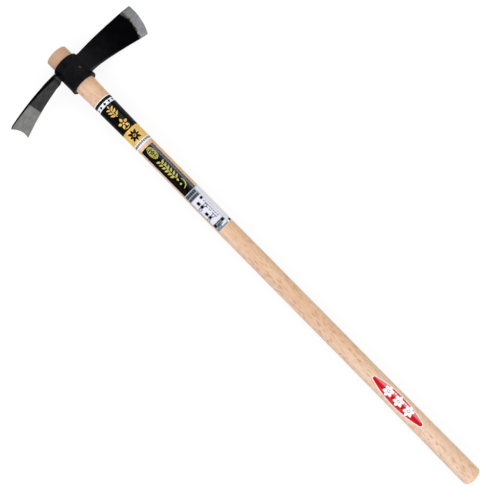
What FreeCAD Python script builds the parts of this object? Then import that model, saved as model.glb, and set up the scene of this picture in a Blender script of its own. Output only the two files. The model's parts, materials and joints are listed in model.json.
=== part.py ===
import FreeCAD, Part
import math
import os

# A cutter mattock: one forged head with an axe blade on one side and a flared grubbing adze on the
# other, jammed on the thick end of a turned wooden handle. Millimetres.
#
# Every piece is drawn in the tool's own frame and then laid on the ground as one rigid tool:
#   X runs along the handle from the head to the butt, and is 0 at the middle of the eye,
#   Y runs from the handle's axis towards the axe's cutting edge,
#   Z is square to the plane in which the axe blade lies.

# ---- Handle: round in section, thick at the head so that the conical eye jams on it ----
HANDLE_TOP = -40.0
HANDLE_BUTT = 860.0
STUB_RADIUS = 18.4
TOP_CHAMFER = 1.0
BUTT_RADIUS = 15.9
BUTT_GRIP_LENGTH = 44.0
BUTT_ROUNDING = 3.5
# (x, radius) of the turned waist, from below the eye to the start of the straight butt grip
WAIST = [(70.0, 15.8), (120.0, 15.0), (190.0, 14.65), (420.0, 14.95), (650.0, 15.05)]

# ---- Eye collar ----
EYE_TOP = -22.0
EYE_BOTTOM = 21.7
EYE_TOP_RADIUS = STUB_RADIUS
EYE_BOTTOM_RADIUS = 17.0
COLLAR_RADIUS = 21.85
COLLAR_LIP_RADIUS = 22.4
COLLAR_LIP_HEIGHT = 6.0
COLLAR_ROUNDING = 1.3

# ---- Axe blade: its cutting edge and the back of its ground bevel are concentric arcs ----
AXE_ARC_CENTRE = (-6.3, 41.5)
AXE_EDGE_RADIUS = 90.0
AXE_BEVEL_WIDTH = 14.3
AXE_EDGE_THICKNESS = 0.6
AXE_BODY_THICKNESS = 6.0
AXE_TOP_LINE = [(-16.4, 10.0), (-17.0, 24.0), (-18.3, 36.0), (-19.1, 60.0), (-18.2, 95.0), (-15.9, 136.0)]
AXE_BOTTOM_LINE = [(12.2, 10.0), (13.6, 26.0), (17.9, 51.6), (23.9, 79.0), (30.6, 106.0), (38.2, 136.0)]
# (y, half thickness) from the thick root on the collar to the flat blade
AXE_CHEEK = [(8.0, 12.6), (18.4, 11.8), (24.0, 9.9), (30.0, 7.6), (38.0, 5.6), (52.0, 4.2), (76.0, 3.4), (102.0, 3.0)]
AXE_SIDE_ROUNDING = 1.1

# ---- Adze blade: bowed towards the butt, flared, with a hollow crescent edge ----
ADZE_UNDERSIDE = [(-10.4, -26.0), (-5.05, -73.0), (7.5, -127.0)]
ADZE_TOPSIDE = [(-18.2, -8.0), (-11.8, -57.0), (5.6, -127.0)]
ADZE_ROOT_FILLET = 5.0
# (y, half width) from the neck at the collar to past the cutting edge
ADZE_SIDE_LINE = [(-8.0, 14.4), (-20.0, 16.6), (-32.0, 20.7), (-60.0, 28.5), (-95.0, 38.6), (-132.0, 48.5)]
ADZE_EDGE_Y = -119.4
ADZE_EDGE_HOLLOW_RADIUS = 263.0
ADZE_EDGE_THICKNESS = 0.5
ADZE_TIP_BEVEL_RUN_PER_RISE = 2.0
ADZE_SIDE_ROUNDING = 0.7
ADZE_BIT_Y = -80.5

# ---- Retaining nail, driven through the collar into the handle ----
NAIL_X = 3.0
NAIL_ANGLE = 35.4
NAIL_SHANK_RADIUS = 1.3
NAIL_HEAD_RADIUS = 2.1
NAIL_HEAD_DEPTH = 1.0
NAIL_HEAD_PROUD = 0.45
NAIL_SHOULDER = (1.575, 0.315)
NAIL_CROWN_RADIUS = 0.8
NAIL_TIP_RADIUS = 0.25
NAIL_REACH = 13.0
NAIL_POINT_LENGTH = 4.0

# ---- Stickers on the handle: (first x, last x, first angle, last angle); 0 degrees is +Z, 90 is +Y ----
STICKER_THICKNESS = 0.25
BAND_SPAN = (59.2, 151.6)
NAME_SPAN = (158.1, 250.9, -54.0, 44.5)
NOTICE_SPAN = (251.1, 325.0, -55.5, 86.0)
OVAL_SPAN = (641.2, 746.9)
OVAL_HALF_WIDTH = 10.6
OVAL_END_RADIUS = 4.1

# ---- Helper sizes that only have to be larger than the pieces they cut ----
BIG = 200.0
ADZE_BEVEL_RISE = 6.0

# ---- Helper counts ----
# An edge is a long one from this share of the solid's diagonal upwards
LONG_EDGE_SHARE = 0.15
LEVELLING_ROUNDS = 8
EDGE_SWEEP = 12.0
RIM_SWEEP = 360.0
SWEEP_STEPS = 240


def vector(x, y, z=0.0):
    return FreeCAD.Vector(x, y, z)


X_AXIS = vector(1, 0)
Y_AXIS = vector(0, 1)
Z_AXIS = vector(0, 0, 1)
ORIGIN = vector(0, 0)


def polyline(points):
    """Straight edges through the points, left open."""
    return [Part.LineSegment(a, b).toShape() for a, b in zip(points, points[1:])]


def spline(points):
    """One smooth edge through the points."""
    curve = Part.BSplineCurve()
    curve.interpolate(points)
    return curve.toShape()


def arc(first, middle, last):
    return Part.Arc(first, middle, last).toShape()


def face(edges):
    return Part.Face(Part.Wire(Part.__sortEdges__(edges)))


def prism(edges, direction):
    """A solid with the outline given by edges, pushed equally both ways along direction."""
    outline = face(edges)
    outline.translate(direction * -1)
    return outline.extrude(direction * 2)


def turned(edges):
    """A solid of revolution about X."""
    return face(edges).revolve(ORIGIN, X_AXIS, 360)


def handle_blank(growth=0.0):
    """The handle with no hole in it, made thicker all round by growth."""
    def rim(x, radius):
        return vector(x, 0, radius + growth)

    grip_start = HANDLE_BUTT - BUTT_GRIP_LENGTH
    top = [
        vector(HANDLE_TOP, 0, 0),
        rim(HANDLE_TOP, STUB_RADIUS - TOP_CHAMFER),
        rim(HANDLE_TOP + TOP_CHAMFER, STUB_RADIUS),
        rim(EYE_TOP, STUB_RADIUS),
        rim(EYE_BOTTOM, EYE_BOTTOM_RADIUS),
    ]
    waist = [rim(EYE_BOTTOM, EYE_BOTTOM_RADIUS)]
    waist += [rim(x, radius) for x, radius in WAIST]
    waist += [rim(grip_start, BUTT_RADIUS)]
    corner = HANDLE_BUTT - BUTT_ROUNDING
    cut = BUTT_ROUNDING * (1 - math.sqrt(0.5))
    rounding = arc(
        rim(corner, BUTT_RADIUS),
        rim(HANDLE_BUTT - cut, BUTT_RADIUS - cut),
        rim(HANDLE_BUTT, BUTT_RADIUS - BUTT_ROUNDING),
    )
    end = [rim(HANDLE_BUTT, BUTT_RADIUS - BUTT_ROUNDING), vector(HANDLE_BUTT, 0, 0), top[0]]
    edges = polyline(top) + [spline(waist)]
    edges += polyline([rim(grip_start, BUTT_RADIUS), rim(corner, BUTT_RADIUS)])
    edges += [rounding] + polyline(end)
    return turned(edges)


def collar_envelope():
    """The collar's outside with no eye in it; the blades' roots are cut to fit this."""
    lip_start = EYE_BOTTOM - COLLAR_LIP_HEIGHT
    lip_end = EYE_BOTTOM - COLLAR_ROUNDING
    outside = [
        vector(EYE_TOP, 0, 0),
        vector(EYE_TOP, 0, COLLAR_RADIUS - COLLAR_ROUNDING),
        vector(EYE_TOP + COLLAR_ROUNDING, 0, COLLAR_RADIUS),
        vector(lip_start, 0, COLLAR_RADIUS),
    ]
    lip = spline([
        vector(lip_start, 0, COLLAR_RADIUS),
        vector((lip_start + lip_end) / 2, 0, (COLLAR_RADIUS + COLLAR_LIP_RADIUS) / 2),
        vector(lip_end, 0, COLLAR_LIP_RADIUS),
    ])
    bottom = [
        vector(lip_end, 0, COLLAR_LIP_RADIUS),
        vector(EYE_BOTTOM, 0, COLLAR_LIP_RADIUS - COLLAR_ROUNDING),
        vector(EYE_BOTTOM, 0, 0),
        vector(EYE_TOP, 0, 0),
    ]
    return turned(polyline(outside) + [lip] + polyline(bottom))


def collar():
    """The ring round the handle, with a conical eye."""
    length = EYE_BOTTOM - EYE_TOP
    eye = Part.makeCone(EYE_TOP_RADIUS, EYE_BOTTOM_RADIUS, length, vector(EYE_TOP, 0, 0), X_AXIS)
    return collar_envelope().cut(eye)


def axe():
    """The whole axe side, root to cutting edge, before the edge steel is told from the body."""
    top = [vector(x, y) for x, y in AXE_TOP_LINE]
    bottom = [vector(x, y) for x, y in AXE_BOTTOM_LINE]
    outline = [spline(top), spline(bottom)]
    outline += polyline([top[0], bottom[0]]) + polyline([top[-1], bottom[-1]])
    plate = prism(outline, Z_AXIS * BIG)

    end_y = AXE_TOP_LINE[-1][1] + 1
    cheeks = []
    for side in (1, -1):
        swell = [vector(0, y, side * half) for y, half in AXE_CHEEK]
        cheeks += [spline(swell)]
        cheeks += polyline([swell[-1], vector(0, end_y, side * AXE_BODY_THICKNESS / 2)])
    for y, half in (AXE_CHEEK[0], (end_y, AXE_BODY_THICKNESS / 2)):
        cheeks += polyline([vector(0, y, half), vector(0, y, -half)])
    blank = plate.common(prism(cheeks, X_AXIS * BIG))
    blank = rounded_long_edges(blank, Y_AXIS, AXE_SIDE_ROUNDING)

    grind_slope = (AXE_BODY_THICKNESS - AXE_EDGE_THICKNESS) / 2 / AXE_BEVEL_WIDTH
    reach = AXE_EDGE_RADIUS
    half_edge = AXE_EDGE_THICKNESS / 2
    half_back = half_edge + grind_slope * reach
    grind = polyline([
        vector(0, 0, half_back),
        vector(reach, 0, half_edge),
        vector(reach, 0, -half_edge),
        vector(0, 0, -half_back),
        vector(0, 0, half_back),
    ])
    grind = face(grind).revolve(ORIGIN, Z_AXIS, 360)
    grind.translate(vector(*AXE_ARC_CENTRE))
    root = Part.makeBox(2 * BIG, AXE_ARC_CENTRE[1] + BIG, 2 * BIG, vector(-BIG, -BIG, -BIG))
    return blank.common(grind.fuse(root))


def axe_body_zone():
    """Everything on the root side of the back of the axe's ground bevel."""
    radius = AXE_EDGE_RADIUS - AXE_BEVEL_WIDTH
    centre = vector(AXE_ARC_CENTRE[0], AXE_ARC_CENTRE[1], -BIG)
    disc = Part.makeCylinder(radius, 2 * BIG, centre, Z_AXIS)
    root = Part.makeBox(2 * BIG, AXE_ARC_CENTRE[1] + BIG, 2 * BIG, vector(-BIG, -BIG, -BIG))
    return disc.fuse(root)


def rounded_long_edges(solid, direction, radius):
    """Rounds the edges that run more or less along direction from one end of the solid to the other."""
    long_edges = []
    for edge in solid.Edges:
        first = edge.valueAt(edge.FirstParameter)
        last = edge.valueAt(edge.LastParameter)
        if abs((last - first).dot(direction)) > LONG_EDGE_SHARE * solid.BoundBox.DiagonalLength:
            long_edges.append(edge)
    return solid.makeFillet(radius, long_edges)


def adze_profile():
    """The adze seen along its edge: two bowed lines and the fillet under its root."""
    under = [vector(x, y) for x, y in ADZE_UNDERSIDE]
    top = [vector(x, y) for x, y in ADZE_TOPSIDE]
    towards_tip = tangent_at(Part.Arc(*under), under[0])
    square = vector(-towards_tip.y, towards_tip.x)
    fillet_centre = under[0] + square * ADZE_ROOT_FILLET
    fillet_end = fillet_centre + Y_AXIS * ADZE_ROOT_FILLET
    between = (Y_AXIS - square).normalize()
    fillet_middle = fillet_centre + between * ADZE_ROOT_FILLET
    inner = vector(fillet_end.x, top[0].y)
    edges = [arc(*under), arc(*top), arc(under[0], fillet_middle, fillet_end)]
    edges += polyline([fillet_end, inner, top[0]]) + polyline([under[-1], top[-1]])
    return edges


def tangent_at(curve, point):
    """The unit direction of a curve at a point, pointing away from the handle."""
    direction = FreeCAD.Vector(curve.tangent(curve.parameter(point))[0])
    if direction.y > 0:
        direction = direction * -1
    return direction.normalize()


def adze_plan():
    """The adze seen from the butt: a neck that flares out to the edge."""
    edges = []
    for side in (1, -1):
        edges += [spline([vector(0, y, side * half) for y, half in ADZE_SIDE_LINE])]
    for y, half in (ADZE_SIDE_LINE[0], ADZE_SIDE_LINE[-1]):
        edges += polyline([vector(0, y, half), vector(0, y, -half)])
    return edges


def adze_edge_middle():
    """The middle of the adze's edge, and the direction in which the blade points there."""
    under = Part.Arc(*[vector(x, y) for x, y in ADZE_UNDERSIDE])
    cut_line = Part.LineSegment(vector(-BIG, ADZE_EDGE_Y), vector(BIG, ADZE_EDGE_Y))
    hit = under.intersectCC(cut_line)[0]
    middle = vector(hit.X, hit.Y)
    return middle, tangent_at(under, middle)


def adze():
    """The whole adze side, root to cutting edge."""
    blank = prism(adze_profile(), Z_AXIS * BIG).common(prism(adze_plan(), X_AXIS * BIG))
    blank = rounded_long_edges(blank, Y_AXIS, ADZE_SIDE_ROUNDING)

    edge_middle, outward = adze_edge_middle()
    downward = vector(-outward.y, outward.x)
    centre = edge_middle + outward * ADZE_EDGE_HOLLOW_RADIUS
    hollow = Part.makeCylinder(ADZE_EDGE_HOLLOW_RADIUS, 2 * BIG, centre - downward * BIG, downward)
    bevel = Part.makeCone(
        ADZE_EDGE_HOLLOW_RADIUS,
        ADZE_EDGE_HOLLOW_RADIUS + ADZE_BEVEL_RISE * ADZE_TIP_BEVEL_RUN_PER_RISE,
        ADZE_BEVEL_RISE,
        centre - downward * ADZE_EDGE_THICKNESS,
        downward * -1,
    )
    return blank.cut(hollow).cut(bevel)


def nail():
    """A small round nail, its domed head just proud of the collar and its point in the wood."""
    seat = COLLAR_RADIUS - NAIL_HEAD_DEPTH
    tip = COLLAR_RADIUS - NAIL_REACH
    crown = COLLAR_RADIUS + NAIL_HEAD_PROUD
    outline = polyline([
        vector(0, 0, crown),
        vector(0, 0, tip),
        vector(NAIL_TIP_RADIUS, 0, tip),
        vector(NAIL_SHANK_RADIUS, 0, tip + NAIL_POINT_LENGTH),
        vector(NAIL_SHANK_RADIUS, 0, seat - NAIL_HEAD_DEPTH),
        vector(NAIL_HEAD_RADIUS, 0, seat),
        vector(NAIL_HEAD_RADIUS, 0, COLLAR_RADIUS),
    ])
    outline += [arc(
        vector(NAIL_HEAD_RADIUS, 0, COLLAR_RADIUS),
        vector(NAIL_SHOULDER[0], 0, COLLAR_RADIUS + NAIL_SHOULDER[1]),
        vector(NAIL_CROWN_RADIUS, 0, crown),
    )]
    outline += polyline([vector(NAIL_CROWN_RADIUS, 0, crown), vector(0, 0, crown)])
    solid = face(outline).revolve(ORIGIN, Z_AXIS, 360)
    solid.rotate(ORIGIN, X_AXIS, -NAIL_ANGLE)
    solid.translate(X_AXIS * NAIL_X)
    return solid


def sector(first_x, last_x, first_angle, last_angle):
    """A wedge about X between two angles, counted from +Z towards +Y."""
    start = math.radians(first_angle)
    radius = 2 * STUB_RADIUS
    wedge = Part.makeCylinder(radius, last_x - first_x, ORIGIN, Z_AXIS, last_angle - first_angle)
    turn = FreeCAD.Matrix(
        0, 0, -1, last_x,
        math.sin(start), math.cos(start), 0, 0,
        math.cos(start), -math.sin(start), 0, 0,
        0, 0, 0, 1,
    )
    wedge.Placement = FreeCAD.Placement(turn)
    return wedge


def band_window():
    length = BAND_SPAN[1] - BAND_SPAN[0]
    return Part.makeCylinder(2 * STUB_RADIUS, length, vector(BAND_SPAN[0], 0), X_AXIS)


def oval_window():
    """A slim oval over the handle's upper side: two long arcs that run smoothly into small round ends."""
    first, last = OVAL_SPAN
    middle = (first + last) / 2
    reach = (last - first) / 2 - OVAL_END_RADIUS
    spare = OVAL_HALF_WIDTH - OVAL_END_RADIUS
    side_radius = (reach**2 + OVAL_HALF_WIDTH**2 - OVAL_END_RADIUS**2) / (2 * spare)
    share = side_radius / (side_radius - OVAL_END_RADIUS)
    meet_x = reach * share
    meet_y = OVAL_HALF_WIDTH - side_radius * (1 - math.sqrt(1 - (meet_x / side_radius) ** 2))
    left, right = [[vector(middle + end * meet_x, side * meet_y) for side in (1, -1)] for end in (-1, 1)]
    edges = [
        arc(left[0], vector(middle, OVAL_HALF_WIDTH), right[0]),
        arc(right[0], vector(last, 0), right[1]),
        arc(right[1], vector(middle, -OVAL_HALF_WIDTH), left[1]),
        arc(left[1], vector(first, 0), left[0]),
    ]
    return face(edges).extrude(Z_AXIS * BIG)


def sticker(window, bare_handle):
    return handle_blank(STICKER_THICKNESS).common(window).cut(bare_handle)


def adze_corner():
    """The low corner of the adze's edge, which touches the ground."""
    bit = adze()
    box = bit.optimalBoundingBox(False, False)
    low = [v.Point for v in bit.Vertexes if v.Point.z < box.ZMin + 2 * ADZE_SIDE_ROUNDING]
    return min(low, key=lambda p: p.y)


def swept(first, last):
    """Evenly spaced angles from first to last, given in degrees and returned in radians."""
    step = (last - first) / SWEEP_STEPS
    return [math.radians(first + step * i) for i in range(SWEEP_STEPS + 1)]


def cutting_edge_points():
    """The lower rim of the axe's cutting edge."""
    points = []
    for turn in swept(-EDGE_SWEEP, EDGE_SWEEP):
        x = AXE_ARC_CENTRE[0] + AXE_EDGE_RADIUS * math.sin(turn)
        y = AXE_ARC_CENTRE[1] + AXE_EDGE_RADIUS * math.cos(turn)
        points.append(vector(x, y, -AXE_EDGE_THICKNESS / 2))
    return points


def butt_rim_points():
    points = []
    for turn in swept(0.0, RIM_SWEEP):
        y = BUTT_RADIUS * math.sin(turn)
        z = BUTT_RADIUS * math.cos(turn)
        points.append(vector(HANDLE_BUTT - BUTT_ROUNDING, y, z))
    return points


def resting_rotation():
    """Turns the tool so that the adze's corner, the axe's edge and the butt all touch level ground."""
    groups = [[adze_corner()], cutting_edge_points(), butt_rim_points()]
    rotation = FreeCAD.Rotation()
    for _ in range(LEVELLING_ROUNDS):
        feet = []
        for points in groups:
            feet.append(min(points, key=lambda p: rotation.multVec(p).z))
        normal = (feet[1] - feet[0]).cross(feet[2] - feet[0])
        normal.normalize()
        if normal.z < 0:
            normal = normal * -1
        level = FreeCAD.Rotation(normal, Z_AXIS)
        along = level.multVec(X_AXIS)
        heading = FreeCAD.Rotation(vector(along.x, along.y), X_AXIS)
        rotation = heading.multiply(level)
    return rotation


def build_pieces():
    pieces = {}
    envelope = collar_envelope()
    whole_axe = axe().cut(envelope)
    whole_adze = adze().cut(envelope)
    pieces["axe_blade"] = whole_axe.common(axe_body_zone())
    pieces["axe_bit"] = whole_axe.cut(axe_body_zone())
    bit_zone = Part.makeBox(2 * BIG, BIG, 2 * BIG, vector(-BIG, ADZE_BIT_Y - BIG, -BIG))
    pieces["adze_blade"] = whole_adze.cut(bit_zone)
    pieces["adze_bit"] = whole_adze.common(bit_zone)
    pieces["retaining_nail"] = nail()
    pieces["eye_collar"] = collar().cut(nail())
    pieces["handle"] = handle_blank().cut(nail())
    windows = {
        "label_band": band_window(),
        "label_name": sector(*NAME_SPAN),
        "label_notice": sector(*NOTICE_SPAN),
        "label_oval": oval_window(),
    }
    for name, window in windows.items():
        pieces[name] = sticker(window, handle_blank())
    return {name: shape.Solids[0] for name, shape in pieces.items()}


def lay_down(pieces):
    """Turns the pieces into the resting pose, with the origin under the middle of the whole tool."""
    rotation = resting_rotation()
    turned_pieces = {}
    for name, shape in pieces.items():
        placed = shape.copy()
        placed.transformShape(FreeCAD.Placement(ORIGIN, rotation).toMatrix(), True)
        turned_pieces[name] = placed
    box = FreeCAD.BoundBox()
    for shape in turned_pieces.values():
        box.add(shape.optimalBoundingBox(False, False))
    shift = vector(-box.Center.x, -box.Center.y, -box.ZMin)
    for shape in turned_pieces.values():
        shape.translate(shift)
    return turned_pieces, FreeCAD.Placement(shift, rotation)


def report(pieces, placement):
    """Prints each piece's volume, and in metres the places and directions that the mounts state."""
    for name, shape in pieces.items():
        print(f"{name}: valid {shape.isValid()}, {shape.Volume / 1000:.2f} cm3")
    grip = (BUTT_GRIP_LENGTH - BUTT_ROUNDING) / 2
    adze_middle, adze_outward = adze_edge_middle()
    points = {
        "eye_centre": ORIGIN,
        "butt_end": vector(HANDLE_BUTT, 0),
        "grip_middle": vector(HANDLE_BUTT - BUTT_ROUNDING - grip, 0),
        "axe_edge_middle": vector(AXE_ARC_CENTRE[0], AXE_ARC_CENTRE[1] + AXE_EDGE_RADIUS),
        "adze_edge_middle": adze_middle,
    }
    for name, point in points.items():
        placed = placement.multVec(point) / 1000
        print(f"{name}: {placed.x:.7f} {placed.y:.7f} {placed.z:.7f}")
    directions = {"tool X": X_AXIS, "tool Y": Y_AXIS, "tool Z": Z_AXIS, "adze outward": adze_outward}
    for name, direction in directions.items():
        placed = placement.Rotation.multVec(direction)
        print(f"{name}: {placed.x:.8f} {placed.y:.8f} {placed.z:.8f}")


def main():
    os.makedirs("parts", exist_ok=True)
    pieces, placement = lay_down(build_pieces())
    for name, shape in pieces.items():
        shape.exportStep(f"parts/{name}.step")
    report(pieces, placement)


main()
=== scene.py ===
import json
from math import asin, ceil, cos, floor, hypot, pi, radians, sin, sqrt

import bmesh
import bpy
from mathutils import Matrix, Vector, noise


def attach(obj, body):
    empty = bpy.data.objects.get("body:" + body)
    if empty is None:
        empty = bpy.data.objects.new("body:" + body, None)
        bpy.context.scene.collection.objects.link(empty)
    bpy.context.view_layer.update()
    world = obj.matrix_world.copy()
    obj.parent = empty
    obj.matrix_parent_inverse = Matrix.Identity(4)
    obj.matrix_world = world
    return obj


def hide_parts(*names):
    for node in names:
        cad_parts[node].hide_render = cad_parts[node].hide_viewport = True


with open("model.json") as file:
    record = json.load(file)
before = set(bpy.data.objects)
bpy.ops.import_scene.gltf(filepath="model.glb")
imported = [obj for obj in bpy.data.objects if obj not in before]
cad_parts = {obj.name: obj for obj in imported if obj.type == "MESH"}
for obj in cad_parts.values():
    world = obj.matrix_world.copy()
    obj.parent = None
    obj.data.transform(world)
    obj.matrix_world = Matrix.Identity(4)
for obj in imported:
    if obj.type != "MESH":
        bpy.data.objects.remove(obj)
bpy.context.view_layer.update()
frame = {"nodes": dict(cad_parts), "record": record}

# A cutter mattock lying on the floor. Metres. Every piece is drawn in the tool's own frame and carried
# to where the tool lies by TOOL: X runs along the handle from the head to the butt and is 0 at the
# middle of the eye, Y runs from the handle's axis towards the axe's edge, Z is square to the axe blade.

MM = 0.001


# ---- The tool's frame and its main sizes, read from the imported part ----
def mount(name):
    return next(m for m in frame["record"]["mounts"] if m["name"] == name)


HANDLE_BUTT = 0.860
TOOL_X = Vector(mount("butt_end")["axis"]).normalized()
TOOL_Y = Vector(mount("axe_guard")["axis"]).normalized()
TOOL_Z = TOOL_X.cross(TOOL_Y)
TOOL = Matrix((TOOL_X, TOOL_Y, TOOL_Z)).transposed().to_4x4()
TOOL.translation = Vector(mount("butt_end")["pos_m"]) - HANDLE_BUTT * TOOL_X


def tool_box(node):
    """Lowest and highest corner of a CAD node in the tool's frame."""
    inverse = TOOL.inverted()
    points = [inverse @ v.co for v in frame["nodes"][node].data.vertices]
    low = Vector([min(p[k] for p in points) for k in range(3)])
    high = Vector([max(p[k] for p in points) for k in range(3)])
    return low, high


# ---- Handle ----
HANDLE_TOP = tool_box("handle")[0].x
STUB_RADIUS = tool_box("handle")[1].z
TOP_ROUNDING = 1.0 * MM
BUTT_RADIUS = mount("butt_grip")["dims"]["r_mm"] * MM
BUTT_GRIP_LENGTH = 44 * MM
BUTT_ROUNDING = 3.5 * MM
TURNING_WAVE = 0.10 * MM

# ---- Eye collar ----
EYE_TOP = tool_box("eye_collar")[0].x
EYE_BOTTOM = tool_box("eye_collar")[1].x
EYE_BOTTOM_RADIUS = 17.0 * MM
EYE_GAP = 0.12 * MM
COLLAR_RADIUS = 21.85 * MM
COLLAR_LIP_RADIUS = 22.4 * MM
COLLAR_LIP_HEIGHT = 6.0 * MM
COLLAR_ROUNDING = 1.3 * MM
COLLAR_SEGMENTS = 120
EYE_MOUTH_FLARE = 0.5 * MM
ROOT_DEPTH = 1.5 * MM
FORGING_DENTS = 0.13 * MM

# ---- Axe blade: the cutting edge and the back of the ground bevel are concentric arcs ----
AXE_ARC_X, AXE_ARC_Y = -6.3 * MM, 41.5 * MM
AXE_EDGE_RADIUS = 90 * MM
AXE_BEVEL_WIDTH = 14.3 * MM
AXE_EDGE_THICKNESS = 0.4 * MM
AXE_UPPER_CORNER, AXE_LOWER_CORNER = 0.7 * MM, 1.9 * MM
AXE_BODY_THICKNESS = 6.0 * MM
AXE_SIDE_ROUNDING = 1.1 * MM
AXE_ROOT_ROUNDING = 2.6 * MM
AXE_ROOT_FILLET = 3.2 * MM
AXE_WELD_SOFTNESS = 2.6 * MM

# ---- Adze blade: bowed towards the butt, flared, with a hollow crescent edge ----
ADZE_EDGE_Y = -119.4 * MM
ADZE_HOLLOW_RADIUS = 263 * MM
ADZE_EDGE_THICKNESS = 0.4 * MM
ADZE_BEVEL_RUN_PER_RISE = 2.0
ADZE_SIDE_ROUNDING = 0.7 * MM
ADZE_ROOT_ROUNDING = 1.8 * MM
ADZE_BIT_Y = -80.5 * MM
ADZE_UNDER_FILLET = 5.0 * MM
ADZE_TOP_FILLET = 2.5 * MM

# ---- Retaining nail ----
NAIL_X = 3 * MM
NAIL_ANGLE = radians(35.4)
NAIL_HEAD_RADIUS = 2.1 * MM
NAIL_HEAD_PROUD = 0.45 * MM
NAIL_HEAD_DEPTH = 1.0 * MM
NAIL_SHANK_RADIUS = 1.3 * MM
NAIL_REACH = 13 * MM
NAIL_TIP_RADIUS, NAIL_TIP_LENGTH = 0.2 * MM, 4 * MM

# ---- Stickers: film on the wood, ink on the film ----
FILM = 0.16 * MM
FILM_SUNK = 0.3 * MM
INK = 0.035 * MM
STRIP = 0.9 * MM
NAME_ANGLES = (-54.0, 44.5)
NOTICE_ANGLES = (-55.5, 86.0)
OVAL_HALF_WIDTH = 10.6 * MM
OVAL_END_RADIUS = 4.1 * MM
OVAL_BORDER = 1.1 * MM


# ---- Curves ----
def smooth_through(points):
    """A function that runs smoothly through (position, value) points."""
    points = sorted(points)
    slopes = []
    for i in range(len(points)):
        before = points[max(i - 1, 0)]
        after = points[min(i + 1, len(points) - 1)]
        slopes.append((after[1] - before[1]) / (after[0] - before[0]))

    def value(position):
        last = len(points) - 2
        i = next((k for k in range(last) if position < points[k + 1][0]), last)
        (x0, y0), (x1, y1) = points[i], points[i + 1]
        span = x1 - x0
        t = clamp((position - x0) / span)
        h = t * t * (3 - 2 * t)
        pull = span * (slopes[i] * t * (1 - t) ** 2 - slopes[i + 1] * t * t * (1 - t))
        return y0 + (y1 - y0) * h + pull

    return value


def circle_line(first, middle, last):
    """x as a function of y on the circle through three (x, y) points."""
    (ax, ay), (bx, by), (cx, cy) = first, middle, last
    d = 2 * (ax * (by - cy) + bx * (cy - ay) + cx * (ay - by))
    a, b, c = ax * ax + ay * ay, bx * bx + by * by, cx * cx + cy * cy
    x = (a * (by - cy) + b * (cy - ay) + c * (ay - by)) / d
    y = (a * (cx - bx) + b * (ax - cx) + c * (bx - ax)) / d
    radius = hypot(ax - x, ay - y)
    side = 1 if bx > x else -1
    return lambda at: x + side * sqrt(max(radius**2 - (at - y) ** 2, 0.0))


def in_mm(points):
    return [(a * MM, b * MM) for a, b in points]


def curve(points):
    return smooth_through(in_mm(points))


def clamp(value):
    return min(max(value, 0.0), 1.0)


def about_x(x, radius, angle):
    """The point at x that far from the X axis, at an angle round it from +Z towards +Y."""
    return Vector((x, radius * sin(angle), radius * cos(angle)))


def soft_max(a, b, softness):
    """The larger of a and b, with a fillet where they cross."""
    near = max(softness - abs(a - b), 0.0) / softness
    return max(a, b) + near * near * softness / 4


def fillet(distance, radius):
    """How far a root fillet stands out at a distance from the surface it runs into."""
    inside = radius - min(max(distance, 0.0), radius)
    return radius - sqrt(radius**2 - inside**2)


def mix(a, b, t):
    return a + (b - a) * t


def ripple(point, size, seed=0.0):
    """Smooth noise from -1 to 1 whose bumps are about size across."""
    return noise.noise(Vector(point) / size + Vector((seed, 2 * seed, 3 * seed)))


WAIST = smooth_through(
    [(EYE_BOTTOM, EYE_BOTTOM_RADIUS)]
    + in_mm([(70, 15.8), (120, 15.0), (190, 14.65), (420, 14.95), (650, 15.05)])
    + [(HANDLE_BUTT - BUTT_GRIP_LENGTH, BUTT_RADIUS)]
)
# The axe's two sides, as x, and its half thickness, over y; the adze's half width over the distance out
AXE_TOP = curve([(10, -16.4), (24, -17), (36, -18.3), (60, -19.1), (95, -18.2), (136, -15.9)])
AXE_BOTTOM = curve([(10, 12.2), (26, 13.6), (51.6, 17.9), (79, 23.9), (106, 30.6), (136, 38.2)])
AXE_CHEEK = curve(
    [(8, 12.6), (18.4, 11.8), (24, 9.9), (30, 7.6), (38, 5.6), (52, 4.2), (76, 3.4), (102, 3), (140, 3)]
)
ADZE_SIDE = curve([(8, 14.4), (20, 16.6), (32, 20.7), (60, 28.5), (95, 38.6), (132, 48.5)])
ADZE_UNDERSIDE = circle_line(*in_mm([(-10.4, -26), (-5.05, -73), (7.5, -127)]))
ADZE_TOPSIDE = circle_line(*in_mm([(-18.2, -8), (-11.8, -57), (5.6, -127)]))


def handle_radius(x):
    if x < EYE_TOP:
        return STUB_RADIUS
    if x < EYE_BOTTOM:
        return mix(STUB_RADIUS, EYE_BOTTOM_RADIUS, (x - EYE_TOP) / (EYE_BOTTOM - EYE_TOP))
    if x < HANDLE_BUTT - BUTT_GRIP_LENGTH:
        return WAIST(x)
    return BUTT_RADIUS


def wood_surface(x, angle):
    """The handle's radius with the slight waves that turning and sanding leave."""
    if x < EYE_BOTTOM:
        return handle_radius(x)
    wave = ripple(about_x(x, 6 * MM, angle), 22 * MM)
    return handle_radius(x) - TURNING_WAVE * (0.5 + 0.5 * wave)


def on_handle(x, around, height):
    """The point height above the wood, around metres round the handle from its upper line towards +Y."""
    angle = around / handle_radius(x)
    return about_x(x, wood_surface(x, angle) + height, angle)


# ---- Mesh helpers ----
def grid_faces(rows, columns, hollow=False):
    """Quads over rows of points that close round; hollow also joins the last row to the first."""
    faces = []
    for r in range(rows if hollow else rows - 1):
        here, below = r * columns, (r + 1) % rows * columns
        for c in range(columns):
            d = (c + 1) % columns
            faces.append((here + c, here + d, below + d, below + c))
    return faces


def mesh_from(name, bm):
    mesh = bpy.data.meshes.new(name)
    bm.to_mesh(mesh)
    bm.free()
    return mesh


def add_object(name, data):
    obj = bpy.data.objects.new(name, data)
    bpy.context.scene.collection.objects.link(obj)
    return obj


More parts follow.
